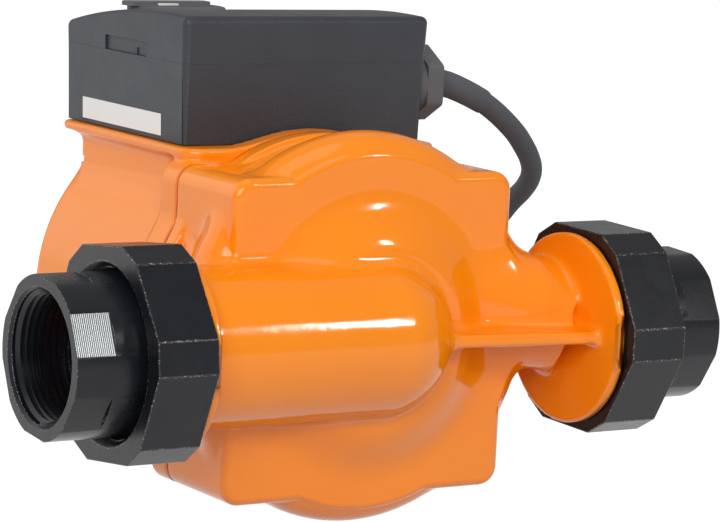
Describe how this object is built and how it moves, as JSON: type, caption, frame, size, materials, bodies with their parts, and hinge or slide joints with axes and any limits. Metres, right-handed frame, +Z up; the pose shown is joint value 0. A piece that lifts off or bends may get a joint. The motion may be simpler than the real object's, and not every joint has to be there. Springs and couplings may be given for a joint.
{
  "type": "circulation pump",
  "caption": "Wet-rotor heating circulator with an orange volute casing, union connections with inner pipe threads, a terminal box with a speed dial, and a mains lead.",
  "frame": {"origin": "middle of the pump's footprint on the surface that it lies on, taken without the free lead", "axes": "+X along the pipe from the suction port to the outlet port, +Y back along the motor shaft, +Z up through the terminal box"},
  "size_m": [0.2581, 0.305, 0.1631],
  "materials": {
    "orange_enamel_casting": "gloss orange enamel over cast iron",
    "orange_enamel_shell": "gloss orange enamel over die-cast aluminium",
    "stainless": "turned stainless steel",
    "impeller_plastic": "glass-filled plastic",
    "ground_steel": "ground steel",
    "rotor_steel": "canned steel core",
    "carbon": "carbon bearing material",
    "ceramic": "ceramic bearing material",
    "sealing_rubber": "black rubber",
    "gasket_fibre": "dark fibre gasket",
    "laminations": "stacked steel sheets",
    "windings": "lacquered copper windings",
    "black_steel": "blackened steel screws",
    "plated_screw": "plated brass",
    "box_plastic": "dark grey grained plastic",
    "label_film": "white film, bare",
    "dial_plastic": "dark plastic",
    "switch_plastic": "pale plastic",
    "capacitor_case": "pale plastic case",
    "gland_plastic": "black plastic",
    "lead_rubber": "black rubber lead sheath",
    "tie_plastic": "grey plastic strip",
    "black_union": "black finished malleable iron"
  },
  "bodies": {
    "pump": {"pump_casing": "orange_enamel_casting", "motor_housing": "orange_enamel_shell", "wear_ring": "stainless", "front_bearing": "ceramic", "rear_bearing": "ceramic", "bearing_plate": "stainless", "rotor_can": "stainless", "can_o_ring": "sealing_rubber", "casing_gasket": "gasket_fibre", "stator_core": "laminations", "stator_windings": "windings", "casing_screws": "black_steel", "vent_seal": "sealing_rubber", "box_tray": "box_plastic", "box_lid": "box_plastic", "box_screws": "stainless", "side_label": "label_film", "speed_switch": "switch_plastic", "capacitor": "capacitor_case", "terminal_block": "switch_plastic", "earth_screw": "plated_screw", "cable_gland": "gland_plastic", "gland_nut": "gland_plastic", "gland_seal": "sealing_rubber", "strain_relief": "lead_rubber", "mains_lead": "lead_rubber", "lead_coil": "lead_rubber", "coil_tie": "tie_plastic", "mains_plug": "lead_rubber", "plug_pins": "ground_steel", "union_insert_left": "black_union", "union_insert_right": "black_union", "union_gasket_left": "sealing_rubber", "union_gasket_right": "sealing_rubber"},
    "rotor": {"impeller": "impeller_plastic", "motor_shaft": "ground_steel", "rotor_core": "rotor_steel", "thrust_ring": "carbon"},
    "dial": {"speed_dial": "dial_plastic"},
    "vent": {"vent_screw": "plated_screw"},
    "nut_left": {"union_nut_left": "black_union"},
    "nut_right": {"union_nut_right": "black_union"}
  },
  "joints": [
    {"name": "rotor_spin", "type": "hinge", "parent": "pump", "child": "rotor", "pos_m": [0, 0.02, 0.0628], "axis": [0, 1, 0], "continuous": true},
    {"name": "dial_turn", "type": "hinge", "parent": "pump", "child": "dial", "pos_m": [-0.0125, 0.06869, 0.157], "axis": [0, 0, 1], "range_deg": [-45, 45]},
    {"name": "vent_turn", "type": "hinge", "parent": "pump", "child": "vent", "pos_m": [0, 0.08, 0.0628], "axis": [0, 1, 0], "continuous": true},
    {"name": "nut_left_turn", "type": "hinge", "parent": "pump", "child": "nut_left", "pos_m": [-0.088, -0.04931, 0.0628], "axis": [-1, 0, 0], "continuous": true},
    {"name": "nut_right_turn", "type": "hinge", "parent": "pump", "child": "nut_right", "pos_m": [0.088, -0.04931, 0.0628], "axis": [1, 0, 0], "continuous": true}
  ]
}
